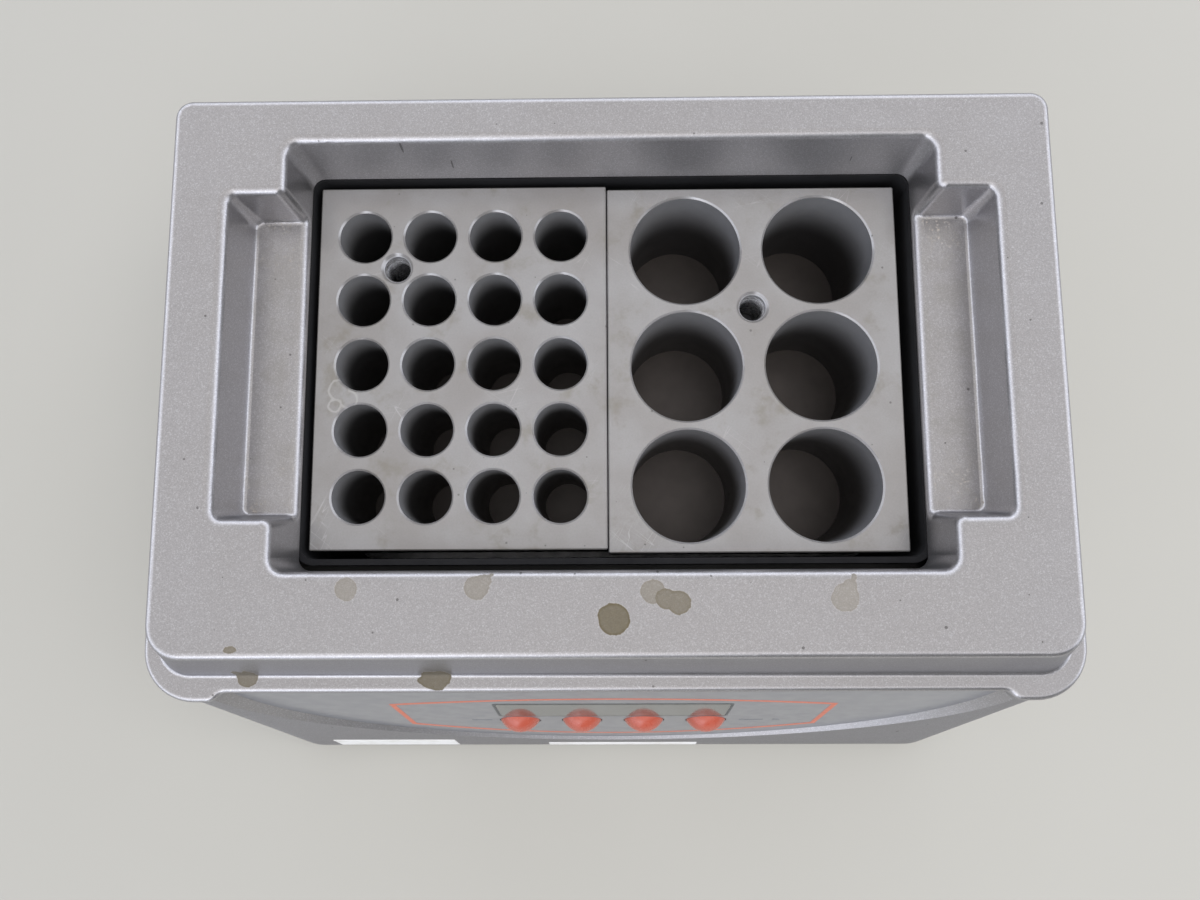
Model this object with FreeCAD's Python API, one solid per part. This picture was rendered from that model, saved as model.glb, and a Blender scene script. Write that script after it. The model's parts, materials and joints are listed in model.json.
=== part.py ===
import FreeCAD, Part
import math
import os

# Two-block thermoelectric dry block heater, millimetres.
# Origin: centre of the footprint, on the surface that the feet stand on.
# +Z up, -Y towards the control panel, +X to the right of a person at the panel.

V = FreeCAD.Vector

# ---- driving dimensions -------------------------------------------------------------------

FOOT_HEIGHT = 5.0
SEAM_Z = 89.3            # top of the lower housing
GASKET = 0.6             # thickness of the seal in the seam
LEDGE_Z = 94.0           # step round the top cover, level with the block tops
DECK_Z = 113.6           # highest face of the top cover
HALF_WIDTH = 116.0       # lower housing and ledge
BASE_HALF_WIDTH = 113.0
REAR_Y = 90.6
FRONT_TOP_Y = -64.2
FRONT_BASE_Y = -92.0
WALL = 3.0
COVER_WALL = 2.4

DECK_HALF_X = 105.5
DECK_REAR_Y = 81.4
DECK_FRONT_Y = -51.6
DECK_FLARE = 6.0         # how far the deck's skirt spreads down to the ledge
LEDGE_FRONT_Y = -62.0    # ledge above the panel
LEDGE_NOTCH_X = 98.5     # where the ledge steps out to its corner lobes

WELL_Y = 19.6            # centre line of the well, front to back
WELL_HALF_X = 77.0
WELL_HALF_Y = 49.0
WELL_TOP_HALF_X = 78.3
WELL_TOP_HALF_Y = 51.2    # rear half; the front wall is plumb
WELL_FRONT_HALF_Y = 51.9
WELL_SKIRT_Z = 96.6      # lower end of the cover's well walls, where the black liner begins
WELL_CORNER_R = 3.2
EAR_FLOOR_Z = 99.0
EAR_Y = 18.8
EAR_HALF_X = 90.6
EAR_HALF_Y = 37.6
EAR_FLARE = 1.5
EAR_BLEND_R = 2.3        # where a finger recess meets the well
WELL_LIP_R = 2.1         # rounding of the deck round the well

BLOCK_X = 74.7
BLOCK_Y = 94.7
BLOCK_Z = 50.0
BLOCK_PITCH = 75.0
BLOCK_SHIFT_X = -0.9     # the pair stands a little to the left in its well
BLOCK_SKEW_Y = 0.45      # left block sits back and right block forward by this much
BORE_DEPTH = 42.0
SMALL_BORE_R = 6.75
SMALL_PITCH = 17.0
LARGE_BORE_R = 14.25
LARGE_PITCH_X = 34.3
LARGE_PITCH_Y = 30.6
LIFT_HOLE_R = 3.4
LIFT_HOLE_DEPTH = 18.0

PLATE_Z = 8.0            # thermal plate under the blocks
MODULE_Z = 4.0           # thermoelectric modules
SINK_BASE_Z = 5.0

PANEL_TILT = 19.4        # slope of the control panel from the vertical, degrees
PANEL_TOP_Y = -61.1
PANEL_HALF_X = 97.0
PANEL_DROP = 76.0        # lowest point of the panel, down its slope
BUTTON_R = 5.7
BUTTON_RISE = 3.4
BUTTON_X = (-27.3, -9.1, 9.1, 27.3)
BUTTON_DROP = 45.0
BUTTON_TRAVEL = 1.0
WINDOW_X = 64.0
WINDOW_DROP = (20.5, 37.5)
BOARD_SETBACK = 11.0     # from the panel's floor to the control board's front
BOARD_POINTS = [(x, drop) for x in (-48.0, 48.0) for drop in (17.0, 59.0)]
PANEL_BEVEL = 8.0        # the panel's rim spreads by this much over the same height
OVERLAY = 0.6            # thickness of the printed film

FAN_SIZE = 60.0
FAN_THICK = 15.0
FAN_Z = 39.0
FAN_HOLES = [(dx, FAN_Z + dz) for dx in (-25.0, 25.0) for dz in (-25.0, 25.0)]
REAR_COLUMN_X = -90.0    # mains inlet and switch, one above the other
INLET_BODY_X = 13.6      # half width of the inlet's body
INLET_Z = 30.0
SWITCH_Z = 66.0

block_bottom = LEDGE_Z - BLOCK_Z
plate_bottom = block_bottom - PLATE_Z
module_bottom = plate_bottom - MODULE_Z
sink_bottom = module_bottom - SINK_BASE_Z
base_top = FOOT_HEIGHT + WALL
rear_inner_y = REAR_Y - WALL


# ---- helpers --------------------------------------------------------------------------------

def box(x0, x1, y0, y1, z0, z1):
    return Part.makeBox(x1 - x0, y1 - y0, z1 - z0, V(x0, y0, z0))


def slab(half_x, y0, y1, z0, z1):
    return box(-half_x, half_x, y0, y1, z0, z1)


def rod(x, y, z0, z1, radius):
    return Part.makeCylinder(radius, z1 - z0, V(x, y, z0))


def rod_y(x, z, y0, y1, radius):
    return Part.makeCylinder(radius, y1 - y0, V(x, y0, z), V(0, 1, 0))


def frustum(low, high, z0, z1):
    """Solid with flat sides between two rectangles (x0, x1, y0, y1)."""
    loops = []
    for (x0, x1, y0, y1), z in ((low, z0), (high, z1)):
        corners = [V(x0, y0, z), V(x1, y0, z), V(x1, y1, z), V(x0, y1, z)]
        loops.append(Part.makePolygon(corners + corners[:1]))
    return Part.makeLoft(loops, True, True)


def rounded(shape, radius, pick):
    """Fillet the edges whose middle point satisfies pick(point, edge)."""
    chosen = []
    for edge in shape.Edges:
        middle = edge.valueAt((edge.FirstParameter + edge.LastParameter) / 2)
        if pick(middle, edge):
            chosen.append(edge)
    return shape.makeFillet(radius, chosen)


def upright(edge):
    first, last = edge.Vertexes[0].Point, edge.Vertexes[-1].Point
    return abs(first.z - last.z) > 0.5 * edge.Length


def outline(corners, z):
    """Closed wire through corners (x, y, radius), each rounded by a tangent arc."""
    arcs = []
    for i, (x, y, radius) in enumerate(corners):
        before = corners[i - 1]
        after = corners[(i + 1) % len(corners)]
        corner = V(x, y, z)
        back = V(before[0] - x, before[1] - y, 0).normalize()
        ahead = V(after[0] - x, after[1] - y, 0).normalize()
        half = back.getAngle(ahead) / 2
        bisector = (back + ahead).normalize()
        run = radius / math.tan(half)
        middle = corner + bisector * (radius / math.sin(half) - radius)
        arcs.append((corner + back * run, middle, corner + ahead * run))
    edges = []
    for i, (start, middle, end) in enumerate(arcs):
        edges.append(Part.Arc(start, middle, end).toShape())
        edges.append(Part.LineSegment(end, arcs[(i + 1) % len(arcs)][0]).toShape())
    return Part.Wire(edges)


def plug(corners, z0, z1):
    """Prism with a rounded outline."""
    return Part.Face(outline(corners, z0)).extrude(V(0, 0, z1 - z0))


def rectangle(x0, x1, y0, y1, radius):
    return [(x0, y0, radius), (x1, y0, radius), (x1, y1, radius), (x0, y1, radius)]


def fuse(shapes):
    return shapes[0].fuse(shapes[1:]).removeSplitter()


def on_panel(shape):
    """Panel frame to part frame: x across, -y down the slope, z out of the panel."""
    placed = shape.copy()
    turn = FreeCAD.Rotation(V(1, 0, 0), 90.0 - PANEL_TILT)
    placed.Placement = FreeCAD.Placement(V(0, PANEL_TOP_Y, SEAM_Z), turn).multiply(shape.Placement)
    return placed


def hexagon_prism(x, y, z0, z1, across):
    points = []
    for i in range(7):
        angle = math.radians(60 * i)
        points.append(V(x + across / math.sqrt(3) * math.cos(angle),
                        y + across / math.sqrt(3) * math.sin(angle), z0))
    return Part.Face(Part.makePolygon(points)).extrude(V(0, 0, z1 - z0))


def pan_screw(x, y, seat_z, tip_z, shank_r, head_r, head_h):
    """Screw along Z. The head is on the side of seat_z that faces away from the tip."""
    way = 1 if tip_z > seat_z else -1
    shank = rod(x, y, min(seat_z, tip_z), max(seat_z, tip_z), shank_r)
    head_end = seat_z - way * head_h
    head = rod(x, y, min(seat_z, head_end), max(seat_z, head_end), head_r)
    head = rounded(head, 0.4 * head_h, lambda p, e: abs(p.z - head_end) < 0.01 and not upright(e))
    socket_end = head_end + way * 0.6 * head_h
    socket = hexagon_prism(x, y, min(head_end, socket_end), max(head_end, socket_end), 0.9 * head_r)
    return shank.fuse(head).cut(socket)


def save(shape, node):
    if not shape.isValid():
        print("INVALID", node)
    shape.exportStep("parts/" + node + ".step")
    print(node, len(shape.Solids), round(shape.Volume, 1))


# ---- housing --------------------------------------------------------------------------------

# Cover bosses: x, y, top of the screw hole, top of the boss.
COVER_BOSSES = [(-70.0, 80.0, 97.5, 99.0), (70.0, 80.0, 97.5, 99.0),
                (-97.0, -44.0, 106.0, 112.0), (97.0, -44.0, 106.0, 112.0)]
BASE_BOSSES = [(-105.0, -56.0), (105.0, -56.0), (-105.0, 59.0), (105.0, 59.0), (-60.0, 82.6), (60.0, 82.6)]
BASE_BOSS_R = 5.5
BOSS_R = 4.5
COVER_SCREW_SEAT = 74.0


def well_pocket(z0, z1, grow):
    """The drafted well opening of the cover, as a solid between two heights."""
    def half_sizes(z):
        along = (z - LEDGE_Z) / (DECK_Z - LEDGE_Z)
        half_x = WELL_HALF_X + along * (WELL_TOP_HALF_X - WELL_HALF_X) + grow
        half_y = WELL_HALF_Y + along * (WELL_TOP_HALF_Y - WELL_HALF_Y) + grow
        return (-half_x, half_x, WELL_Y - WELL_FRONT_HALF_Y - grow, WELL_Y + half_y)
    solid = frustum(half_sizes(z0), half_sizes(z1), z0, z1)
    return rounded(solid, WELL_CORNER_R + grow, lambda p, e: upright(e))


def ear_pocket(side, z0, z1, grow):
    """Finger recess beside the well: side is -1 on the left, 1 on the right."""
    inner = side * (WELL_HALF_X - 20.0)

    def limits(z):
        flare = (z - EAR_FLOOR_Z) / (DECK_Z - EAR_FLOOR_Z) * EAR_FLARE + grow
        outer = side * (EAR_HALF_X + flare)
        x0, x1 = min(inner, outer), max(inner, outer)
        return (x0, x1, EAR_Y - EAR_HALF_Y - flare, EAR_Y + EAR_HALF_Y + flare)
    solid = frustum(limits(z0), limits(z1), z0, z1)
    outward = lambda p, e: upright(e) and side * p.x > WELL_HALF_X
    return rounded(solid, 2.2 + grow, outward)


def deck_frustum(z0, z1, shrink):
    """The deck and its spreading skirt, drawn in by shrink on every side."""
    def limits(z):
        spread = (DECK_Z - z) / (DECK_Z - LEDGE_Z) * DECK_FLARE - shrink
        return (-DECK_HALF_X - spread, DECK_HALF_X + spread, DECK_FRONT_Y - spread, DECK_REAR_Y + spread)
    solid = frustum(limits(z0), limits(z1), z0, z1)
    solid = rounded(solid, 8.4 - shrink, lambda p, e: upright(e) and p.y < 0)
    return rounded(solid, 4.5 - 0.5 * shrink, lambda p, e: upright(e) and p.y > 0)


def ledge_corners(inset):
    x = HALF_WIDTH - inset
    rear = REAR_Y - inset
    lobe = FRONT_TOP_Y + inset
    front = LEDGE_FRONT_Y + inset
    notch = LEDGE_NOTCH_X - 2.4
    return [(-x, rear, 11.5 - inset), (-x, lobe, 13.0 - inset), (-LEDGE_NOTCH_X, lobe, 3.0),
            (-notch, front, 3.0), (notch, front, 3.0), (LEDGE_NOTCH_X, lobe, 3.0),
            (x, lobe, 13.0 - inset), (x, rear, 11.5 - inset)]


def cover_opening():
    """Everything cut out of the cover: the well and its two finger recesses."""
    parts = [well_pocket(WELL_SKIRT_Z - 1.0, DECK_Z + 5.0, 0.0)]
    for side in (-1, 1):
        ear = ear_pocket(side, EAR_FLOOR_Z, DECK_Z + 5.0, 0.0)
        inner_x = WELL_HALF_X - 20.0
        floor_edge = lambda p, e: abs(p.z - EAR_FLOOR_Z) < 0.01 and abs(p.x) > inner_x + 0.5
        parts.append(rounded(ear, 1.0, floor_edge))
    opening = fuse(parts)

    def blends(p, edge):
        beside_well = abs(abs(p.x) - WELL_HALF_X) < 3 and abs(p.y - EAR_Y) < EAR_HALF_Y + 3
        shelf_lip = abs(p.z - EAR_FLOOR_Z) < 0.01 and abs(p.y - EAR_Y) < 5
        corner = upright(edge) and p.z > EAR_FLOOR_Z
        return beside_well and (shelf_lip or corner)
    return rounded(opening, EAR_BLEND_R, blends)


def top_cover():
    cover_bottom = SEAM_Z + GASKET
    ledge = plug(ledge_corners(0.0), cover_bottom, LEDGE_Z)
    ledge = rounded(ledge, 1.5, lambda p, e: abs(p.z - LEDGE_Z) < 0.01)
    deck = deck_frustum(LEDGE_Z - 0.5, DECK_Z, 0.0)
    deck = rounded(deck, 1.8, lambda p, e: abs(p.z - DECK_Z) < 0.01)
    shell = ledge.fuse(deck)
    skirt_foot = lambda p, e: (abs(p.z - LEDGE_Z) < 0.01 and abs(p.x) < HALF_WIDTH - 3.5
                               and LEDGE_FRONT_Y + 3.0 < p.y < REAR_Y - 3.0)
    shell = rounded(shell, 1.2, skirt_foot)
    inner_front = LEDGE_FRONT_Y + WALL
    inner_side = HALF_WIDTH - WALL
    rim = rectangle(-inner_side, inner_side, inner_front, REAR_Y - WALL, 9.0)
    shell = shell.cut(plug(rim, cover_bottom - 1.0, LEDGE_Z - COVER_WALL))
    shell = shell.cut(deck_frustum(LEDGE_Z - COVER_WALL - 1.0, DECK_Z - COVER_WALL, COVER_WALL))
    walls = [well_pocket(WELL_SKIRT_Z, DECK_Z - 1.0, COVER_WALL)]
    for side in (-1, 1):
        walls.append(ear_pocket(side, EAR_FLOOR_Z - COVER_WALL, DECK_Z - 1.0, COVER_WALL))
    for x, y, _, top in COVER_BOSSES:
        walls.append(rod(x, y, cover_bottom, top, BOSS_R))
    cover = fuse([shell] + walls)
    cover = cover.cut(cover_opening())
    in_well = lambda p: abs(p.x) < EAR_HALF_X + 4 and abs(p.y - WELL_Y) < WELL_TOP_HALF_Y + 2
    cover = rounded(cover, WELL_LIP_R, lambda p, e: abs(p.z - DECK_Z) < 0.01 and in_well(p))
    for x, y, hole_top, _ in COVER_BOSSES:
        cover = cover.cut(rod(x, y, cover_bottom - 1.0, hole_top, 2.0))
    return cover


def panel_outline(depth, grow):
    """Half ellipse with a straight upper part, in the panel frame."""
    half_x = PANEL_HALF_X + grow
    drop = PANEL_DROP + grow
    top = 14.0
    # The first axis point sets the long radius, across the panel.
    ellipse = Part.Ellipse(V(half_x, 0, depth), V(0, drop, depth), V(0, 0, depth))
    arc = Part.Arc(ellipse, math.pi, 2 * math.pi).toShape()
    left, right = V(-half_x, 0, depth), V(half_x, 0, depth)
    left_top, right_top = V(-half_x, top, depth), V(half_x, top, depth)
    edges = [Part.LineSegment(left_top, left).toShape(), arc,
             Part.LineSegment(right, right_top).toShape(),
             Part.LineSegment(right_top, left_top).toShape()]
    return Part.Wire(edges)


def housing_frustum(inset_side, inset_front, inset_rear, z0, z1):
    def limits(z):
        along = (SEAM_Z - z) / (SEAM_Z - FOOT_HEIGHT)
        half = HALF_WIDTH + along * (BASE_HALF_WIDTH - HALF_WIDTH) - inset_side
        front = FRONT_TOP_Y + along * (FRONT_BASE_Y - FRONT_TOP_Y) + inset_front
        return (-half, half, front, REAR_Y - inset_rear)
    solid = frustum(limits(z0), limits(z1), z0, z1)
    solid = rounded(solid, 14.0 - inset_side, lambda p, e: upright(e) and p.y < 0)
    return rounded(solid, 11.5 - inset_side, lambda p, e: upright(e) and p.y > 0)


def rear_grille():
    """Slots of the fan outlet, cut to a circle."""
    slots = []
    pitch = 6.2
    for i in range(-4, 5):
        z = FAN_Z + i * pitch
        half = math.sqrt(27.0 ** 2 - (i * pitch) ** 2)
        slot = plug(rectangle(-half, half, -1.7, 1.7, 1.6), 0.0, 3 * WALL)
        slot.rotate(V(0, 0, 0), V(1, 0, 0), 90)
        slot.translate(V(0, REAR_Y + WALL, z))
        slots.append(slot)
    return slots


def lower_housing():
    shell = housing_frustum(0.0, 0.0, 0.0, FOOT_HEIGHT, SEAM_Z)
    shell = rounded(shell, 0.5, lambda p, e: abs(p.z - SEAM_Z) < 0.01)
    bevel = Part.makeLoft([panel_outline(0.0, 0.0), panel_outline(PANEL_BEVEL, PANEL_BEVEL)], True, True)
    shell = shell.cut(on_panel(bevel))
    inner = housing_frustum(WALL, 6.0, WALL, FOOT_HEIGHT - 1.0, SEAM_Z + 1.0)
    shell = shell.cut(inner)
    adds = []
    for x, y, _, _ in COVER_BOSSES:
        adds.append(rod(x, y, base_top, SEAM_Z, BOSS_R + 1.0))
        if y > 0:
            adds.append(box(x - 1, x + 1, y, REAR_Y - 1, base_top, SEAM_Z))
        else:
            wall_x = math.copysign(HALF_WIDTH - 2.5, x)
            adds.append(box(min(x, wall_x), max(x, wall_x), y - 1, y + 1, base_top, SEAM_Z))
    for x, y in BASE_BOSSES:
        adds.append(rod(x, y, base_top, base_top + 14.0, BASE_BOSS_R))
    for x, drop in BOARD_POINTS:
        adds.append(on_panel(Part.makeCylinder(3.0, BOARD_SETBACK - 2.0, V(x, -drop, -BOARD_SETBACK))))
    shell = fuse([shell] + adds)
    cuts = []
    for x, y, _, _ in COVER_BOSSES:
        cuts.append(rod(x, y, base_top - 1.0, SEAM_Z + 1.0, 2.2))
        cuts.append(rod(x, y, base_top - 1.0, COVER_SCREW_SEAT, 4.0))
    for x, y in BASE_BOSSES:
        cuts.append(rod(x, y, base_top - 1.0, base_top + 12.0, 1.5))
    for x, drop in BOARD_POINTS:
        cuts.append(on_panel(Part.makeCylinder(1.3, 8.0, V(x, -drop, -BOARD_SETBACK - 1.0))))
    for x in BUTTON_X:
        cuts.append(on_panel(Part.makeCylinder(BUTTON_R + 0.3, 12.0, V(x, -BUTTON_DROP, -9.0))))
    low, high = WINDOW_DROP[1] - 2.0, WINDOW_DROP[0] + 2.0
    glass = plug(rectangle(-WINDOW_X / 2 + 2.0, WINDOW_X / 2 - 2.0, -low, -high, 1.0), -9.0, 3.0)
    cuts.append(on_panel(glass))
    cuts += rear_grille()
    for x, z in FAN_HOLES:
        cuts.append(rod_y(x, z, rear_inner_y - 1.0, REAR_Y + 1.0, 1.7))
    cuts.append(box(REAR_COLUMN_X - INLET_BODY_X - 0.2, REAR_COLUMN_X + INLET_BODY_X + 0.2,
                    rear_inner_y - 1, REAR_Y + 1, INLET_Z - 16.8, INLET_Z + 16.8))
    cuts.append(box(REAR_COLUMN_X - 6.8, REAR_COLUMN_X + 6.8, rear_inner_y - 1, REAR_Y + 1,
                    SWITCH_Z - 9.8, SWITCH_Z + 9.8))
    return shell.cut(cuts)


def seam_gasket():
    z0, z1 = SEAM_Z, SEAM_Z + GASKET
    outer = rectangle(-HALF_WIDTH + 1.0, HALF_WIDTH - 1.0, LEDGE_FRONT_Y + 1.0, REAR_Y - 1.0, 10.5)
    inner = rectangle(-HALF_WIDTH + 2.9, HALF_WIDTH - 2.9, LEDGE_FRONT_Y + 2.9, REAR_Y - 2.9, 8.6)
    return plug(outer, z0, z1).cut(plug(inner, z0 - 1, z1 + 1))


FEET = [(-94.0, -70.0), (94.0, -70.0), (-94.0, 72.0), (94.0, 72.0)]


def base_plate():
    half = BASE_HALF_WIDTH - WALL - 0.3
    front = FRONT_BASE_Y + 7.6
    corners = [(-half, front, 10.0), (half, front, 10.0), (half, rear_inner_y - 0.3, 8.0),
               (-half, rear_inner_y - 0.3, 8.0)]
    plate = plug(corners, FOOT_HEIGHT, base_top)
    cuts = []
    for i in range(15):
        x = (i - 7) * 9.0
        slot = plug(rectangle(x - 1.6, x + 1.6, -36.0, -6.0, 1.5), FOOT_HEIGHT - 1, base_top + 1)
        cuts.append(slot)
    for x, y in FEET:
        cuts.append(rod(x, y, FOOT_HEIGHT - 1, base_top + 1, 2.0))
    for x, y in BASE_BOSSES:
        cuts.append(rod(x, y, FOOT_HEIGHT - 1, base_top + 1, 1.8))
        cuts.append(rod(x, y, FOOT_HEIGHT - 1, FOOT_HEIGHT + 1.6, 3.4))
    return plate.cut(cuts)


def feet():
    pieces = []
    for x, y in FEET:
        foot = Part.makeCone(8.6, 9.6, FOOT_HEIGHT, V(x, y, 0))
        foot = rounded(foot, 0.8, lambda p, e: p.z < 0.01)
        foot = foot.cut([rod(x, y, -1, 3.0, 4.2), rod(x, y, -1, 6.0, 2.0)])
        pieces.append(foot)
    return Part.makeCompound(pieces)


def foot_screws():
    return Part.makeCompound([pan_screw(x, y, 3.0, 11.5, 1.9, 3.7, 1.8) for x, y in FEET])


def base_screws():
    seat = FOOT_HEIGHT + 1.6
    return Part.makeCompound([pan_screw(x, y, seat, 19.0, 1.4, 3.1, 1.5) for x, y in BASE_BOSSES])


def cover_screws():
    pieces = []
    for x, y, hole_top, _ in COVER_BOSSES:
        pieces.append(pan_screw(x, y, COVER_SCREW_SEAT, hole_top - 1.5, 1.9, 3.6, 3.0))
    return Part.makeCompound(pieces)


# ---- control panel ----------------------------------------------------------------------------

def panel_overlay():
    sheet = Part.Face(panel_outline(0.0, -0.4)).extrude(V(0, 0, OVERLAY))
    sheet = sheet.cut(box(-120, 120, -1.4, 30, -1, 3))
    low, high = -WINDOW_DROP[1], -WINDOW_DROP[0]
    sheet = sheet.cut(plug(rectangle(-WINDOW_X / 2, WINDOW_X / 2, low, high, 0.8), -1, 3))
    for x in BUTTON_X:
        sheet = sheet.cut(Part.makeCylinder(BUTTON_R + 0.3, 4, V(x, -BUTTON_DROP, -1)))
    return on_panel(sheet)


def display_window():
    x = WINDOW_X / 2 - 0.1
    lens = plug(rectangle(-x, x, -WINDOW_DROP[1] + 0.1, -WINDOW_DROP[0] - 0.1, 0.7), 0.0, OVERLAY + 0.1)
    return on_panel(lens)


def display_module():
    middle = -(WINDOW_DROP[0] + WINDOW_DROP[1]) / 2
    body = box(-33.0, 33.0, middle - 8.4, middle + 8.4, -BOARD_SETBACK, -4.2)
    glass = box(-28.5, 28.5, middle - 6.0, middle + 6.0, -4.2, -1.5)
    return on_panel(body.fuse(glass).removeSplitter())


def button(x):
    sphere_r = (BUTTON_R ** 2 + BUTTON_RISE ** 2) / (2 * BUTTON_RISE)
    cap = Part.makeSphere(sphere_r, V(x, -BUTTON_DROP, OVERLAY + BUTTON_RISE - sphere_r))
    cap = cap.common(Part.makeCylinder(BUTTON_R, 20, V(x, -BUTTON_DROP, OVERLAY)))
    skirt = Part.makeCylinder(BUTTON_R, OVERLAY + 4.6, V(x, -BUTTON_DROP, -4.6))
    collar = Part.makeCylinder(BUTTON_R + 1.2, 1.0, V(x, -BUTTON_DROP, -5.6))
    stem = Part.makeCylinder(1.5, 3.0, V(x, -BUTTON_DROP, -8.6))
    return on_panel(fuse([cap, skirt, collar, stem]))


def tactile_switches():
    pieces = []
    for x in BUTTON_X:
        body = box(x - 3, x + 3, -BUTTON_DROP - 3, -BUTTON_DROP + 3, -BOARD_SETBACK, -7.4)
        well = Part.makeCylinder(1.7, 3.2, V(x, -BUTTON_DROP, -10.4))
        pieces.append(on_panel(body.cut(well)))
    return Part.makeCompound(pieces)


def control_board():
    board = plug(rectangle(-53, 53, -63, -13, 2.0), -BOARD_SETBACK - 1.6, -BOARD_SETBACK)
    for x, drop in BOARD_POINTS:
        board = board.cut(Part.makeCylinder(1.7, 6, V(x, -drop, -BOARD_SETBACK - 3)))
    back = -BOARD_SETBACK - 1.6
    chips = [box(-8, 8, -50, -34, back - 1.6, back), box(20, 28, -44, -38, back - 1.4, back),
             box(-40, -22, -58, -52, back - 7.0, back)]
    return on_panel(fuse([board] + chips))


def board_screws():
    pieces = []
    back = -BOARD_SETBACK - 1.6
    for x, drop in BOARD_POINTS:
        pieces.append(on_panel(pan_screw(x, -drop, back, -4.5, 1.2, 2.6, 1.6)))
    return Part.makeCompound(pieces)


# ---- blocks and thermal stack -----------------------------------------------------------------

def bored_block(centre_x, centre_y, bores, radius, lift):
    body = box(centre_x - BLOCK_X / 2, centre_x + BLOCK_X / 2, centre_y - BLOCK_Y / 2,
               centre_y + BLOCK_Y / 2, block_bottom, LEDGE_Z)
    body = body.makeChamfer(0.3, [e for e in body.Edges if e.BoundBox.ZMin > LEDGE_Z - 0.01
                                  or upright(e)])
    cuts = []
    for dx, dy in bores:
        x, y = centre_x + dx, centre_y + dy
        cuts.append(rod(x, y, LEDGE_Z - BORE_DEPTH, LEDGE_Z + 1, radius))
        cuts.append(Part.makeCone(radius, radius + 0.45, 0.45, V(x, y, LEDGE_Z - 0.449)))
    x, y = centre_x + lift[0], centre_y + lift[1]
    cuts.append(rod(x, y, LEDGE_Z - LIFT_HOLE_DEPTH, LEDGE_Z + 1, LIFT_HOLE_R))
    cuts.append(Part.makeCone(LIFT_HOLE_R, LIFT_HOLE_R + 0.8, 0.8, V(x, y, LEDGE_Z - 0.799)))
    return body.cut(cuts)


def small_bore_block():
    bores = [((i - 1.5) * SMALL_PITCH, (j - 2) * SMALL_PITCH) for i in range(4) for j in range(5)]
    x = BLOCK_SHIFT_X - BLOCK_PITCH / 2
    lift = (-SMALL_PITCH, 1.5 * SMALL_PITCH)
    return bored_block(x, WELL_Y + BLOCK_SKEW_Y, bores, SMALL_BORE_R, lift)


def large_bore_block():
    bores = [((i - 0.5) * LARGE_PITCH_X, (j - 1) * LARGE_PITCH_Y) for i in range(2) for j in range(3)]
    x = BLOCK_SHIFT_X + BLOCK_PITCH / 2
    lift = (0.0, 0.5 * LARGE_PITCH_Y)
    return bored_block(x, WELL_Y - BLOCK_SKEW_Y, bores, LARGE_BORE_R, lift)


LINER_WALL = 1.5
STACK_HALF_X = WELL_HALF_X - 0.4
STACK_HALF_Y = WELL_HALF_Y - 0.4
CLAMP_POINTS = [(x, y) for x in (-70.0, 0.0, 70.0) for y in (WELL_Y - 43.0, WELL_Y + 43.0)]
MODULES = [(x, y) for x in (-38.0, 38.0) for y in (WELL_Y - 22.0, WELL_Y + 22.0)]
MODULE_HALF = 20.0
SENSOR_Z = block_bottom - PLATE_Z / 2
SENSOR_X = 14.0


def well_ring(inner, outer, z0, z1):
    shapes = []
    for grow, low, high in ((outer, z0, z1), (inner, z0 - 1, z1 + 1)):
        x, y = WELL_HALF_X + grow, WELL_HALF_Y + grow
        shapes.append(plug(rectangle(-x, x, WELL_Y - y, WELL_Y + y, WELL_CORNER_R + grow), low, high))
    return shapes[0].cut(shapes[1])


def well_liner():
    liner = well_ring(0.0, LINER_WALL, module_bottom, WELL_SKIRT_Z - 0.3)
    front_y = WELL_Y - WELL_HALF_Y
    return liner.cut(rod_y(SENSOR_X, SENSOR_Z, front_y - 5, front_y + 5, 2.6))


def foam_jacket():
    foam = well_ring(LINER_WALL + 0.2, LINER_WALL + 4.4, module_bottom, LEDGE_Z - 6.0)
    rear_y = WELL_Y + WELL_HALF_Y
    foam = foam.cut(box(-34, 34, rear_y, rear_y + 20, 0, FAN_Z + FAN_SIZE / 2 + 1))
    inlet_room = (REAR_COLUMN_X - INLET_BODY_X, REAR_COLUMN_X + INLET_BODY_X + 1.0)
    foam = foam.cut(box(*inlet_room, rear_y, rear_y + 20, 0, SWITCH_Z))
    front_y = WELL_Y - WELL_HALF_Y
    return foam.cut(rod_y(SENSOR_X, SENSOR_Z, front_y - 12, front_y, 2.6))


def thermal_plate():
    plate = plug(rectangle(-STACK_HALF_X, STACK_HALF_X, WELL_Y - STACK_HALF_Y, WELL_Y + STACK_HALF_Y,
                           3.6), plate_bottom, block_bottom)
    cuts = [rod(x, y, plate_bottom - 1, plate_bottom + 6.0, 2.0) for x, y in CLAMP_POINTS]
    front_y = WELL_Y - STACK_HALF_Y
    cuts.append(rod_y(SENSOR_X, SENSOR_Z, front_y - 1, front_y + 30.0, 2.05))
    return plate.cut(cuts)


def peltier_modules():
    pieces = []
    for x, y in MODULES:
        lower = box(x - MODULE_HALF, x + MODULE_HALF, y - MODULE_HALF, y + MODULE_HALF,
                    module_bottom, module_bottom + 1.0)
        upper = box(x - MODULE_HALF, x + MODULE_HALF, y - MODULE_HALF, y + MODULE_HALF,
                    plate_bottom - 1.0, plate_bottom)
        core = box(x - 18.5, x + 18.5, y - 18.5, y + 18.5, module_bottom + 1.0, plate_bottom - 1.0)
        pieces.append(fuse([lower, core, upper]))
    return Part.makeCompound(pieces)


def module_frame():
    frame = plug(rectangle(-STACK_HALF_X, STACK_HALF_X, WELL_Y - STACK_HALF_Y, WELL_Y + STACK_HALF_Y,
                           3.6), module_bottom + 0.1, plate_bottom - 0.1)
    gap = MODULE_HALF + 0.5
    cuts = [box(x - gap, x + gap, y - gap, y + gap, 0, 60) for x, y in MODULES]
    cuts += [rod(x, y, 0, 60, 2.4) for x, y in CLAMP_POINTS]
    return frame.cut(cuts)


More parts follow.
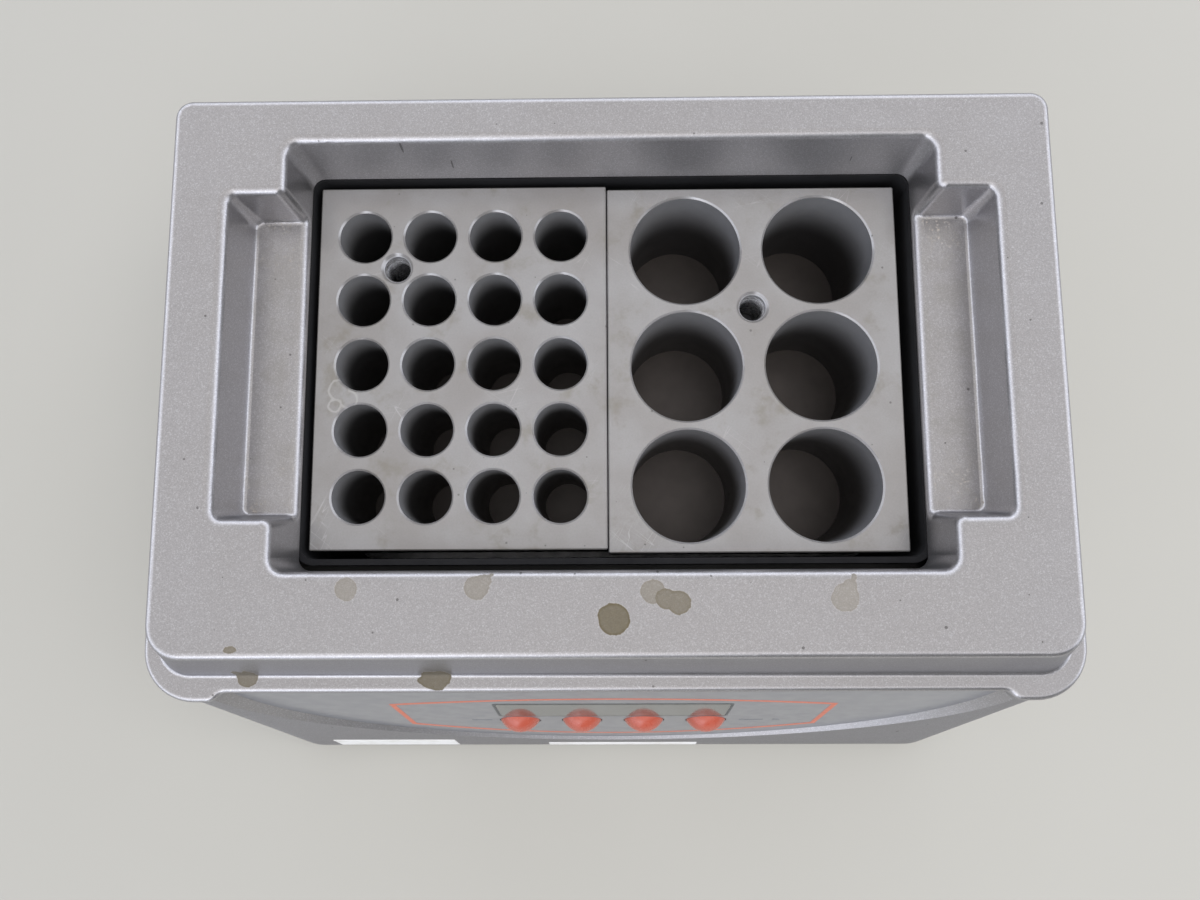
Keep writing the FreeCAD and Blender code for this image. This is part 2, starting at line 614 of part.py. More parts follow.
SINK_HALF_X = 80.0
SINK_FRONT_Y = WELL_Y - STACK_HALF_Y
SINK_REAR_Y = 66.4
SINK_EAR_X = 100.0
CUTOUT = (91.5, 20.0)


def heat_sink():
    base = box(-SINK_HALF_X, SINK_EAR_X, SINK_FRONT_Y, SINK_REAR_Y, sink_bottom, module_bottom)
    fins = []
    count = 25
    pitch = 2 * (SINK_HALF_X - 1.5) / (count - 1)
    for i in range(count):
        x = -SINK_HALF_X + 1.5 + i * pitch
        edge = i in (0, count - 1)
        half = 1.5 if edge else 0.9
        foot = base_top if edge else base_top + 2.0
        fins.append(box(x - half, x + half, SINK_FRONT_Y, SINK_REAR_Y, foot, sink_bottom))
    sink = fuse([base] + fins)
    cuts = []
    for x, y in CLAMP_POINTS:
        cuts.append(rod(x, y, sink_bottom - 1, module_bottom + 1, 2.2))
        cuts.append(rod(x, y, base_top - 1, sink_bottom, 5.0))
    return sink.cut(cuts)


def clamp_screws():
    return Part.makeCompound([pan_screw(x, y, sink_bottom, plate_bottom + 5.0, 1.9, 3.6, 2.4)
                              for x, y in CLAMP_POINTS])


def temperature_sensor():
    front_y = WELL_Y - STACK_HALF_Y
    probe = rod_y(SENSOR_X, SENSOR_Z, front_y - 7.4, front_y + 28.0, 2.0)
    collar = rod_y(SENSOR_X, SENSOR_Z, front_y - 12.0, front_y - 7.4, 3.2)
    return probe.fuse(collar)


def thermal_cutout():
    x, y = CUTOUT
    flange = rod(x, y, module_bottom, module_bottom + 0.8, 8.0)
    can = rod(x, y, module_bottom + 0.8, module_bottom + 6.4, 7.0)
    tabs = [box(x + dx - 0.4, x + dx + 0.4, y - 3, y + 3, module_bottom + 6.4, module_bottom + 13.0)
            for dx in (-4.5, 4.5)]
    return fuse([flange, can] + tabs)


# ---- fan ----------------------------------------------------------------------------------------

FAN_REAR_Y = rear_inner_y - 0.2
FAN_FRONT_Y = FAN_REAR_Y - FAN_THICK
HUB_R = 12.5


def fan_frame():
    half = FAN_SIZE / 2
    body = box(-half, half, FAN_FRONT_Y, FAN_REAR_Y, FAN_Z - half, FAN_Z + half)
    body = rounded(body, 3.0, lambda p, e: abs(abs(p.x) - half) < 0.01
                   and abs(abs(p.z - FAN_Z) - half) < 0.01)
    body = body.cut(rod_y(0, FAN_Z, FAN_FRONT_Y - 1, FAN_REAR_Y + 1, 28.6))
    stator = rod_y(0, FAN_Z, FAN_REAR_Y - 2.0, FAN_REAR_Y, HUB_R)
    post = rod_y(0, FAN_Z, FAN_REAR_Y - 10.0, FAN_REAR_Y - 2.0, 4.0)
    parts = [body, stator, post]
    for i in range(4):
        strut = box(10.0, 30.0, FAN_REAR_Y - 2.0, FAN_REAR_Y, FAN_Z - 1.0, FAN_Z + 1.0)
        strut.rotate(V(0, 0, FAN_Z), V(0, 1, 0), 90 * i + 20)
        parts.append(strut)
    frame = fuse(parts)
    cuts = [rod_y(0, FAN_Z, FAN_REAR_Y - 11.0, FAN_REAR_Y - 1.0, 1.55)]
    for x, z in FAN_HOLES:
        cuts.append(rod_y(x, z, FAN_FRONT_Y - 1, FAN_REAR_Y + 1, 1.45))
    return frame.cut(cuts)


def fan_rotor():
    cup = rod_y(0, FAN_Z, FAN_FRONT_Y + 1.0, FAN_REAR_Y - 2.6, HUB_R)
    cup = cup.cut(rod_y(0, FAN_Z, FAN_FRONT_Y + 2.6, FAN_REAR_Y, HUB_R - 1.6))
    shaft = rod_y(0, FAN_Z, FAN_FRONT_Y + 2.0, FAN_REAR_Y - 1.2, 1.5)
    blades = []
    for i in range(7):
        blade = Part.makeBox(15.8, 1.2, 15.0, V(HUB_R - 0.8, -0.6, -7.5))
        blade.rotate(V(0, 0, 0), V(1, 0, 0), 48)
        blade.rotate(V(0, 0, 0), V(1, 0, 0), 90)
        blade.translate(V(0, (FAN_FRONT_Y + FAN_REAR_Y) / 2 - 0.5, FAN_Z))
        blade.rotate(V(0, 0, FAN_Z), V(0, 1, 0), 360.0 / 7 * i)
        blades.append(blade)
    sweep = rod_y(0, FAN_Z, FAN_FRONT_Y + 1.0, FAN_REAR_Y - 2.6, 27.9)
    sweep = sweep.cut(rod_y(0, FAN_Z, FAN_FRONT_Y, FAN_REAR_Y, HUB_R - 0.8))
    vanes = [blade.common(sweep) for blade in blades]
    return fuse([cup, shaft] + vanes)


def fan_screws():
    pieces = []
    for x, z in FAN_HOLES:
        screw = pan_screw(0, 0, 0, -14.0, 1.35, 2.7, 1.3)
        screw.rotate(V(0, 0, 0), V(1, 0, 0), -90)
        screw.translate(V(x, REAR_Y, z))
        pieces.append(screw)
    return Part.makeCompound(pieces)


# ---- power --------------------------------------------------------------------------------------

INLET_FLANGE = 1.4
SOCKET = (INLET_Z - 14.6, INLET_Z + 2.2)     # heights of the plug cavity
DRAWER = (INLET_Z + 5.0, INLET_Z + 14.0)     # heights of the fuse drawer
DRAWER_HALF = 11.0


def power_inlet():
    x = REAR_COLUMN_X
    flange = box(x - 15.8, x + 15.8, REAR_Y, REAR_Y + INLET_FLANGE, INLET_Z - 18.8, INLET_Z + 18.8)
    flange = rounded(flange, 1.5, lambda p, e: abs(abs(p.x - x) - 15.8) < 0.01
                     and abs(abs(p.z - INLET_Z) - 18.8) < 0.01)
    back_y = REAR_Y - 19.0
    body = box(x - INLET_BODY_X, x + INLET_BODY_X, back_y, REAR_Y, INLET_Z - 16.6, INLET_Z + 16.6)
    inlet = flange.fuse(body)
    low, high = SOCKET
    profile = [V(x - 12.0, 0, low), V(x + 12.0, 0, low), V(x + 12.0, 0, high - 4.5),
               V(x + 7.5, 0, high), V(x - 7.5, 0, high), V(x - 12.0, 0, high - 4.5)]
    face = Part.Face(Part.makePolygon(profile + profile[:1]))
    face.translate(V(0, REAR_Y - 16.0, 0))
    inlet = inlet.cut(face.extrude(V(0, 20.0, 0)))
    drawer_hole = box(x - DRAWER_HALF - 0.3, x + DRAWER_HALF + 0.3, back_y + 1.2, REAR_Y + 5,
                      DRAWER[0] - 0.3, DRAWER[1] + 0.3)
    inlet = inlet.cut(drawer_hole)
    tabs = [box(x + dx - 3.15, x + dx + 3.15, back_y - 5.0, back_y, z - 0.4, z + 0.4)
            for dx, z in ((-7.0, INLET_Z - 8.0), (7.0, INLET_Z - 8.0), (0.0, INLET_Z - 2.5))]
    return fuse([inlet] + tabs)


def inlet_pins():
    pieces = []
    for dx, dz in ((-7.0, -9.2), (7.0, -9.2), (0.0, -5.2)):
        x, z = REAR_COLUMN_X + dx, INLET_Z + dz
        pin = box(x - 1.0, x + 1.0, REAR_Y - 16.0, REAR_Y - 1.0, z - 2.0, z + 2.0)
        pieces.append(rounded(pin, 0.6, lambda p, e: abs(p.y - (REAR_Y - 1.0)) < 0.01))
    return Part.makeCompound(pieces)


def fuse_drawer():
    x = REAR_COLUMN_X
    front = box(x - DRAWER_HALF, x + DRAWER_HALF, REAR_Y - 3.0, REAR_Y + INLET_FLANGE, *DRAWER)
    tray = box(x - DRAWER_HALF + 1, x + DRAWER_HALF - 1, REAR_Y - 17.0, REAR_Y - 3.0,
               DRAWER[0] + 1.0, DRAWER[0] + 6.5)
    tray = tray.cut(box(x - DRAWER_HALF + 2.2, x + DRAWER_HALF - 2.2, REAR_Y - 15.8, REAR_Y - 4.2,
                        DRAWER[0] + 2.2, DRAWER[1]))
    grip = box(x - 5, x + 5, REAR_Y + INLET_FLANGE - 0.8, REAR_Y + 4, DRAWER[1] - 1.2, DRAWER[1] + 1)
    return front.fuse(tray).removeSplitter().cut(grip)


def fuses():
    """Two tube fuses lie side by side across the drawer."""
    start_x, z = REAR_COLUMN_X - 8.5, DRAWER[0] + 4.75
    return Part.makeCompound([Part.makeCylinder(2.5, 17.0, V(start_x, y, z), V(1, 0, 0))
                              for y in (REAR_Y - 12.9, REAR_Y - 7.1)])


def switch_housing():
    x = REAR_COLUMN_X
    flange = box(x - 7.6, x + 7.6, REAR_Y, REAR_Y + 1.2, SWITCH_Z - 10.6, SWITCH_Z + 10.6)
    flange = rounded(flange, 1.2, lambda p, e: abs(abs(p.x - x) - 7.6) < 0.01
                     and abs(abs(p.z - SWITCH_Z) - 10.6) < 0.01)
    body = box(x - 6.6, x + 6.6, REAR_Y - 16.0, REAR_Y, SWITCH_Z - 9.6, SWITCH_Z + 9.6)
    body = flange.fuse(body)
    body = body.cut(box(x - 5.4, x + 5.4, REAR_Y - 9.0, REAR_Y + 2, SWITCH_Z - 8.4, SWITCH_Z + 8.4))
    tabs = [box(x - 2.4, x + 2.4, REAR_Y - 23.0, REAR_Y - 16.0, SWITCH_Z + dz - 0.4, SWITCH_Z + dz + 0.4)
            for dz in (-6.0, 6.0)]
    return fuse([body] + tabs)


ROCKER_PIVOT_Y = REAR_Y - 3.4
ROCKER_TILT = 7.0


def power_rocker():
    """Two flats that meet in a shallow valley. At rest it is pressed in at its lower end: off."""
    x = REAR_COLUMN_X
    half = 7.9
    rise = 1.0
    end_y = REAR_Y + 1.4 - 0.9
    valley_y = end_y - rise
    profile = [V(0, valley_y, SWITCH_Z), V(0, end_y, SWITCH_Z + half), V(0, REAR_Y - 2.4, SWITCH_Z + half),
               V(0, REAR_Y - 6.4, SWITCH_Z + 3.0), V(0, REAR_Y - 6.4, SWITCH_Z - 3.0),
               V(0, REAR_Y - 2.4, SWITCH_Z - half), V(0, end_y, SWITCH_Z - half)]
    face = Part.Face(Part.makePolygon(profile + profile[:1]))
    face.translate(V(x - 5.1, 0, 0))
    rocker = face.extrude(V(10.2, 0, 0))
    hole = Part.makeCylinder(1.05, 20, V(x - 10, ROCKER_PIVOT_Y, SWITCH_Z), V(1, 0, 0))
    rocker = rocker.cut(hole)
    rocker.rotate(V(x, ROCKER_PIVOT_Y, SWITCH_Z), V(1, 0, 0), -ROCKER_TILT)
    return rocker


def rocker_pin():
    x = REAR_COLUMN_X
    return Part.makeCylinder(1.0, 10.8, V(x - 5.4, ROCKER_PIVOT_Y, SWITCH_Z), V(1, 0, 0))


def power_supply():
    """Open-frame converter in the left side bay, on its bracket."""
    case = box(-109.0, -85.0, -38.0, 51.0, base_top + 1.0, 68.0)
    case = case.cut(box(-107.8, -80.0, -36.8, 49.8, base_top + 2.2, 66.8))
    return case


def supply_board():
    board = box(-107.2, -105.6, -36.0, 49.0, base_top + 4.0, 65.0)
    parts = [box(-105.6, -88.0, -10.0, 22.0, 20.0, 50.0), box(-105.6, -90.0, 30.0, 44.0, 16.0, 30.0),
             Part.makeCylinder(8.0, 17.0, V(-105.6, -24.0, 30.0), V(1, 0, 0)),
             Part.makeCylinder(8.0, 17.0, V(-105.6, -24.0, 50.0), V(1, 0, 0))]
    return fuse([board] + parts)


DRIVER_POINTS = [(x, y) for x in (-57.0, 57.0) for y in (-71.0, -45.0)]
DRIVER_Z = 14.0


def driver_board():
    board = plug(rectangle(-62, 62, -76, -40, 2.0), DRIVER_Z, DRIVER_Z + 1.6)
    parts = [box(-50, -34, -56, -44, 15.6, 27.0), box(30, 54, -58, -46, 15.6, 23.0)]
    for x in (-20.0, -6.0, 8.0):
        parts.append(rod(x, -50, 15.6, 28.0, 5.0))
    board = fuse([board] + parts)
    return board.cut([rod(x, y, DRIVER_Z - 4, DRIVER_Z + 6, 1.7) for x, y in DRIVER_POINTS])


def board_standoffs():
    return Part.makeCompound([rod(x, y, base_top, DRIVER_Z, 2.8) for x, y in DRIVER_POINTS])


# ---- build --------------------------------------------------------------------------------------

os.makedirs("parts", exist_ok=True)

BUILDERS = [top_cover, lower_housing, seam_gasket, base_plate, feet, foot_screws, base_screws,
            cover_screws, panel_overlay, display_window, display_module, tactile_switches,
            control_board, board_screws, small_bore_block, large_bore_block, well_liner,
            foam_jacket, thermal_plate, peltier_modules, module_frame, heat_sink, clamp_screws,
            temperature_sensor, thermal_cutout, fan_frame, fan_rotor, fan_screws, power_inlet,
            inlet_pins, fuse_drawer, fuses, switch_housing, power_rocker, rocker_pin,
            power_supply, supply_board, driver_board, board_standoffs]

for builder in BUILDERS:
    save(builder(), builder.__name__)
for number, x in enumerate(BUTTON_X, start=1):
    save(button(x), "button_%d" % number)
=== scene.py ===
import json
import math

import bmesh
import bpy
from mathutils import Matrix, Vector
from mathutils.bvhtree import BVHTree


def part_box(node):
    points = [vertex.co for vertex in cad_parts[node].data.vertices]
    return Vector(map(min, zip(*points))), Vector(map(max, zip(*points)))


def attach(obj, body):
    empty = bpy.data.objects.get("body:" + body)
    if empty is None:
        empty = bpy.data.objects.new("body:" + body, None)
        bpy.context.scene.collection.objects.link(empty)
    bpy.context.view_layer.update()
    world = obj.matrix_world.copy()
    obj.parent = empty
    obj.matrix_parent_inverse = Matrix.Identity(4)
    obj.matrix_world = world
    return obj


# Dry block heater with two lift-out blocks, in metres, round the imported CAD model.
# +Z up, -Y towards the control panel, +X to the right.

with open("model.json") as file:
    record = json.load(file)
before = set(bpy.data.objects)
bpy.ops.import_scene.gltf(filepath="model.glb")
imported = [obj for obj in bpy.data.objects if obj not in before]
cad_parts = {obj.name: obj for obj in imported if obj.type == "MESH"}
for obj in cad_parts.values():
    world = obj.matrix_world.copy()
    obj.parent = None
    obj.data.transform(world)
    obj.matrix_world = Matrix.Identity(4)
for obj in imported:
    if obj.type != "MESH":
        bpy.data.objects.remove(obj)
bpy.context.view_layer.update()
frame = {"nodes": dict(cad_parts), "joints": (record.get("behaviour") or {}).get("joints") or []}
MM = 0.001

# ---- places taken from the frame ----------------------------------------------------------------

DECK_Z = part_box("top_cover")[1].z
BLOCK_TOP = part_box("small_bore_block")[1].z
window_low, window_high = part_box("display_window")
WINDOW = (window_low + window_high) / 2
button_low, button_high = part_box("button_1")
BUTTON_Z = (button_low.z + button_high.z) / 2

# The buttons travel along the panel's normal.
press = next(joint for joint in frame["joints"] if joint["name"] == "key_1_press")
PANEL_IN = Vector(press["axis"]).normalized()
PANEL_OUT = -PANEL_IN
PANEL_DOWN = Vector((0.0, PANEL_IN.z, -PANEL_IN.y))

# ---- places in the CAD model that its boxes don't give -------------------------------------------

# Axis of each block's threaded lifting hole.
LIFT_HOLES = {
    "small_block": Vector((-55.4, 45.55, 0.0)) * MM,
    "large_block": Vector((36.6, 34.45, 0.0)) * MM,
}
BORE_DEPTH = 42.0 * MM

# The finger recesses at both ends of the well: their middle and floor, and limits just outside them.
EAR_Y = 18.8 * MM
EAR_FLOOR_Z = 99.0 * MM
EAR_LIMIT_X = 93.5 * MM
EAR_LIMIT_Y = 40.5 * MM

# Just in front of the well's rear wall.
WELL_REAR_Y = 67.0 * MM


# ---- node helpers -------------------------------------------------------------------------------

class Finish:
    """One procedural material, with short calls for the nodes that it is built from.

    Below, f is the finish that a function builds.
    """

    def __init__(self, name, colour, roughness, metallic=0.0, **sockets):
        self.material = bpy.data.materials.new(name)
        self.material.use_nodes = True
        self.tree = self.material.node_tree
        self.shader = self.tree.nodes["Principled BSDF"]
        self.shader.inputs["Base Color"].default_value = (*colour, 1.0)
        self.shader.inputs["Roughness"].default_value = roughness
        self.shader.inputs["Metallic"].default_value = metallic
        for socket, value in sockets.items():
            self.shader.inputs[socket.replace("_", " ")].default_value = value
        self.place = self.node("TexCoord").outputs["Object"]
        self.relief = None

    def node(self, kind, **settings):
        made = self.tree.nodes.new("ShaderNode" + kind)
        for key, value in settings.items():
            setattr(made, key, value)
        return made

    def feed(self, socket, value):
        if isinstance(value, bpy.types.NodeSocket):
            self.tree.links.new(value, socket)
        else:
            socket.default_value = value

    def math(self, operation, *values):
        made = self.node("Math", operation=operation)
        for socket, value in zip(made.inputs, values):
            self.feed(socket, value)
        return made.outputs[0]

    def vector(self, operation, *values, output=0):
        made = self.node("VectorMath", operation=operation)
        for socket, value in zip(made.inputs, values):
            self.feed(socket, value)
        return made.outputs[output]

    def stretched(self, scale, place=None):
        return self.vector("MULTIPLY", place or self.place, scale)

    def noise(self, size, detail=2.0, roughness=0.5, place=None):
        """Noise from 0 to 1 whose blotches are about size metres."""
        made = self.node("TexNoise")
        self.feed(made.inputs["Vector"], place or self.place)
        made.inputs["Scale"].default_value = 1.0 / size
        made.inputs["Detail"].default_value = detail
        made.inputs["Roughness"].default_value = roughness
        return made.outputs["Fac"]

    def cells(self, size, flat=False):
        """Voronoi cells of about size metres: (distance to the centre in cells, random colour)."""
        made = self.node("TexVoronoi", voronoi_dimensions="2D" if flat else "3D")
        self.feed(made.inputs["Vector"], self.place)
        made.inputs["Scale"].default_value = 1.0 / size
        return made.outputs["Distance"], made.outputs["Color"]

    def span(self, value, low, high, to_low=0.0, to_high=1.0, smooth=True):
        """value mapped from low..high to to_low..to_high, held at the ends."""
        made = self.node("MapRange", interpolation_type="SMOOTHSTEP" if smooth else "LINEAR")
        for socket, number in zip(made.inputs, (value, low, high, to_low, to_high)):
            self.feed(socket, number)
        return made.outputs[0]

    def mix(self, factor, first, second, blend="MIX"):
        """Colour mix. The colours are sockets or (r, g, b)."""
        made = self.node("Mix", data_type="RGBA", blend_type=blend)
        self.feed(made.inputs[0], factor)
        for socket, colour in ((made.inputs[6], first), (made.inputs[7], second)):
            self.feed(socket, colour if isinstance(colour, bpy.types.NodeSocket) else (*colour, 1.0))
        return made.outputs[2]

    def colour(self, value):
        self.feed(self.shader.inputs["Base Color"], value)

    def roughness(self, value):
        self.feed(self.shader.inputs["Roughness"], value)

    def metallic(self, value):
        self.feed(self.shader.inputs["Metallic"], value)

    def bump(self, height, distance, strength=1.0):
        """Relief of the given depth in metres, on top of any relief added before."""
        made = self.node("Bump")
        made.inputs["Strength"].default_value = strength
        made.inputs["Distance"].default_value = distance
        self.feed(made.inputs["Height"], height)
        if self.relief:
            self.feed(made.inputs["Normal"], self.relief)
        self.relief = made.outputs["Normal"]
        self.feed(self.shader.inputs["Normal"], self.relief)

    def axes(self, place=None):
        """The x, y and z of a vector."""
        made = self.node("SeparateXYZ")
        self.feed(made.inputs[0], place or self.place)
        return made.outputs

    def drop(self, circles):
        """One dried drop seen from above: circles (x, y, radius) in mm that run together.

        Gives the drop's mask and the distance from its outline, which is below zero inside.
        """
        edge = 0.15 * MM
        wobble = 0.6 * MM
        x, y, _ = self.axes()
        flat = self.node("CombineXYZ")
        shift = self.math("MULTIPLY_ADD", self.noise(2.2 * MM, 4, 0.6), 2 * wobble, -wobble)
        self.feed(flat.inputs[0], self.math("ADD", x, shift))
        self.feed(flat.inputs[1], self.math("SUBTRACT", y, shift))
        outline = None
        for centre_x, centre_y, radius in circles:
            centre = (centre_x * MM, centre_y * MM, 0.0)
            reach = self.vector("DISTANCE", flat.outputs[0], centre, output=1)
            reach = self.math("SUBTRACT", reach, radius * MM)
            outline = reach if outline is None else self.math("SMOOTH_MIN", outline, reach, 0.8 * MM)
        return self.span(outline, edge, -edge), outline


# ---- finishes -----------------------------------------------------------------------------------

PAINT_METAL = 0.9

# Dried drops on the cover: (strength, circles of x, y, radius in mm).
DROPS = [
    (0.74, [(-60.2, -36.2, 2.6)]),
    (0.76, [(-30.6, -36.0, 2.8), (-28.5, -34.4, 1.3), (-27.3, -33.2, 0.5)]),
    (1.00, [(0.3, -43.1, 3.6), (-1.9, -41.9, 1.4)]),
    (0.80, [(9.2, -37.0, 2.8)]),
    (0.92, [(12.0, -38.6, 2.3), (15.0, -39.5, 2.7)]),
    (0.72, [(52.2, -38.6, 3.2), (53.4, -36.0, 1.6), (54.4, -34.0, 0.7)]),
    (0.90, [(-86.7, -49.6, 0.7), (-85.9, -49.7, 0.9), (-85.1, -49.6, 0.7)]),
    (0.90, [(-91.0, -57.2, 1.3), (-90.2, -58.4, 1.9), (-89.0, -58.6, 1.9), (-88.2, -57.2, 1.3)]),
    (0.95, [(-45.0, -58.6, 2.2), (-42.8, -58.8, 2.6), (-41.4, -58.2, 2.0), (-47.0, -58.9, 0.8)]),
]

# A dried splash on the small block, as circles.
SPLASH = [(-69.5, 13.5, 2.6), (-67.0, 11.0, 2.2), (-70.5, 9.5, 1.6)]


def shade(tone, colour):
    """The colour times tone."""
    return tuple(tone * part for part in colour)


def silver_paint(name, drops=(), tone=1.0, gloss=0.28):
    """Metallic lacquer with a fine grain of flakes, faint clouding, dirt specks and dried drops.

    tone darkens the whole paint: painted shade for walls that are seen at a grazing angle from above.
    """
    f = Finish(name, (0.5, 0.5, 0.5), 0.3, PAINT_METAL, Specular_Tint=(0.50, 0.51, 0.54, 1.0))
    cloud = f.noise(60 * MM, 3)
    base = f.mix(cloud, shade(tone, (0.525, 0.508, 0.510)), shade(tone, (0.560, 0.552, 0.565)))
    grain = f.noise(0.27 * MM, 2, 0.7)
    base = f.mix(f.span(grain, 0.35, 0.68), f.mix(1.0, base, (0.80, 0.80, 0.805), "MULTIPLY"), base)
    _, flake = f.cells(0.25 * MM)
    spark = f.span(f.axes(flake)[0], 0.72, 1.0)
    base = f.mix(f.math("MULTIPLY", spark, 0.28), base, (0.86, 0.87, 0.90))
    base = specks(f, base, 15 * MM)
    rough = f.span(f.noise(9 * MM, 3), 0.2, 0.8, gloss, gloss + 0.06)
    # The well's rear wall, and all below the deck behind it, mirrors the room more softly.
    _, y, z = f.axes()
    behind = f.span(y, WELL_REAR_Y - 1 * MM, WELL_REAR_Y + 1 * MM)
    below = f.span(z, DECK_Z - 0.6 * MM, DECK_Z - 2.6 * MM)
    rough = f.math("MULTIPLY_ADD", f.math("MULTIPLY", behind, below), 0.22, rough)
    if drops:
        base, grime = ear_grime(f, base)
        crust = f.noise(0.9 * MM, 3, 0.6)
        silt = f.mix(crust, (0.046, 0.036, 0.014), (0.080, 0.064, 0.032))
        total = None
        for strength, circles in drops:
            mask, outline = f.drop(circles)
            mask = f.math("MULTIPLY", mask, f.span(outline, -0.8 * MM, 0.0, 0.93, 1.0))
            mask = f.math("MULTIPLY", mask, strength)
            total = mask if total is None else f.math("MAXIMUM", total, mask)
        base = f.mix(f.math("MULTIPLY", total, 0.96), base, silt)
        dull = f.math("MAXIMUM", total, grime)
        rough = f.math("MULTIPLY_ADD", dull, 0.25, rough)
        f.metallic(f.math("MULTIPLY_ADD", dull, -PAINT_METAL, PAINT_METAL))
        f.feed(f.shader.inputs["Specular IOR Level"], f.span(dull, 0.0, 1.0, 0.5, 0.08))
    f.colour(base)
    f.roughness(rough)
    f.bump(grain, 0.012 * MM, 0.35)
    f.bump(f.axes(flake)[2], 0.006 * MM, 0.25)
    return f.material


def specks(f, base, spacing):
    """Sparse dark specks, seen from above."""
    far, pick = f.cells(spacing, flat=True)
    x, y, _ = f.axes(pick)
    size = f.span(x, 0.0, 1.0, 0.008, 0.026, smooth=False)
    spot = f.math("LESS_THAN", far, size)
    some = f.math("GREATER_THAN", y, 0.35)
    spot = f.math("MULTIPLY", f.math("MULTIPLY", spot, some), 0.65)
    return f.mix(spot, base, (0.10, 0.095, 0.09))


def ear_grime(f, base):
    """Dust caught on the floors of the finger recesses, thickest at their front and rear ends."""
    x, y, z = f.axes()
    end = f.math("ABSOLUTE", f.math("SUBTRACT", y, EAR_Y))
    near_end = f.span(end, 18 * MM, 37 * MM)
    soft = 0.5 * MM
    inside = f.math("MULTIPLY", f.span(f.math("ABSOLUTE", x), EAR_LIMIT_X + soft, EAR_LIMIT_X - soft),
                    f.span(end, EAR_LIMIT_Y + soft, EAR_LIMIT_Y - soft))
    level = f.math("MULTIPLY", f.span(z, EAR_FLOOR_Z + 1.2 * MM, EAR_FLOOR_Z + 0.2 * MM),
                   f.span(z, EAR_FLOOR_Z - 0.4 * MM, EAR_FLOOR_Z - 0.1 * MM))
    on_floor = f.math("MULTIPLY", level, inside)
    crumbs = f.span(f.noise(0.7 * MM, 3, 0.7), 0.56, 0.66)
    patches = f.span(f.noise(6 * MM, 3, 0.6), 0.4, 0.65)
    film = f.math("MULTIPLY", f.math("MULTIPLY", on_floor, patches), 0.22)
    grime = f.math("MULTIPLY", f.math("MULTIPLY", on_floor, near_end), f.math("MULTIPLY", crumbs, patches))
    base = f.mix(film, base, (0.33, 0.31, 0.27))
    return f.mix(f.math("MULTIPLY", grime, 0.75), base, (0.20, 0.165, 0.125)), grime


def block_aluminium():
    """Fine-milled aluminium, dulled by use: clouded, scratched, oxidised in the bores, with painted shade
    deeper down and dark brown bore floors.
    """
    f = Finish("block_aluminium", (0.34, 0.34, 0.35), 0.28, 0.6)
    cloud = f.noise(22 * MM, 4, 0.6)
    base = f.mix(f.span(cloud, 0.3, 0.7), (0.305, 0.295, 0.294), (0.358, 0.357, 0.366))
    tarnish = f.span(f.noise(10 * MM, 4, 0.68), 0.52, 0.74)
    base = f.mix(f.math("MULTIPLY", tarnish, 0.6), base, (0.222, 0.205, 0.172))
    fine = f.noise(0.5 * MM, 2, 0.7)
    base = f.mix(f.span(fine, 0.25, 0.75, 0.14, 0.0), base, (0.16, 0.16, 0.16))
    for turn, strength in ((0.5, 0.40), (-0.9, 0.32), (1.35, 0.24)):
        base = hairlines(f, base, turn, strength)
    base = pale_loop(f, base)
    base = specks(f, base, 12 * MM)
    x, _, z = f.axes()
    depth = f.math("SUBTRACT", BLOCK_TOP, z)
    # Painted shade: near black mixed in further below the block's top, on every face. The small block, at
    # negative x, has narrower bores, so its painted shade starts sooner.
    painted_depth_shade = f.math("MULTIPLY", depth, f.span(x, -1 * MM, 0.0, 1.7, 1.0))
    wall = f.span(depth, 0.5 * MM, 0.7 * MM)
    oxide = f.mix(f.noise(4 * MM, 4, 0.6), (0.29, 0.295, 0.318), (0.39, 0.395, 0.41))
    base = f.mix(wall, base, oxide)
    # Painted shade, darkening to near black with depth.
    base = f.mix(f.span(painted_depth_shade, 4.0 * MM, 25.0 * MM, 0.0, 0.94), base, (0.016, 0.0155, 0.017))
    floor = f.span(depth, BORE_DEPTH - 0.3 * MM, BORE_DEPTH - 0.05 * MM)
    murk = f.mix(f.noise(7 * MM, 4, 0.6), (0.044, 0.038, 0.036), (0.074, 0.064, 0.060))
    base = f.mix(floor, base, murk)
    rings = f.math("SINE", f.math("MULTIPLY", z, 2 * math.pi / (0.35 * MM)))
    streak = f.noise(1.0 * MM, 2, 0.5, f.stretched((1.0, 1.0, 0.1)))
    f.colour(base)
    f.metallic(f.span(wall, 0.0, 1.0, 0.6, 0.45))
    f.roughness(f.math("MULTIPLY_ADD", wall, 0.12, f.span(f.noise(5 * MM, 3), 0.2, 0.8, 0.20, 0.27)))
    f.bump(f.math("MULTIPLY", rings, f.span(depth, 0.5 * MM, 1.0 * MM)), 0.004 * MM, 0.3)
    f.bump(f.math("ADD", fine, streak), 0.01 * MM, 0.3)
    return f.material


def hairlines(f, base, turn, strength):
    """Sparse fine scratches that run one way, as bright slits in stretched noise."""
    turned = f.node("VectorRotate", rotation_type="Z_AXIS")
    f.feed(turned.inputs["Vector"], f.place)
    turned.inputs["Angle"].default_value = turn
    long_way = f.stretched((1.0, 0.05, 1.0), turned.outputs[0])
    waves = f.noise(3.0 * MM, 1, 0.5, long_way)
    slit = f.span(f.math("ABSOLUTE", f.math("SUBTRACT", waves, 0.5)), 0.006, 0.0)
    some = f.span(f.noise(14 * MM, 2), 0.55, 0.7)
    scratch = f.math("MULTIPLY", f.math("MULTIPLY", slit, some), strength)
    return f.mix(scratch, base, (0.60, 0.60, 0.62))


def pale_loop(f, base):
    """Outline of a dried splash on the small block's left margin."""
    _, outline = f.drop(SPLASH)
    ring = f.span(f.math("ABSOLUTE", outline), 0.45 * MM, 0.1 * MM)
    return f.mix(f.math("MULTIPLY", ring, 0.4), base, (0.55, 0.55, 0.55))


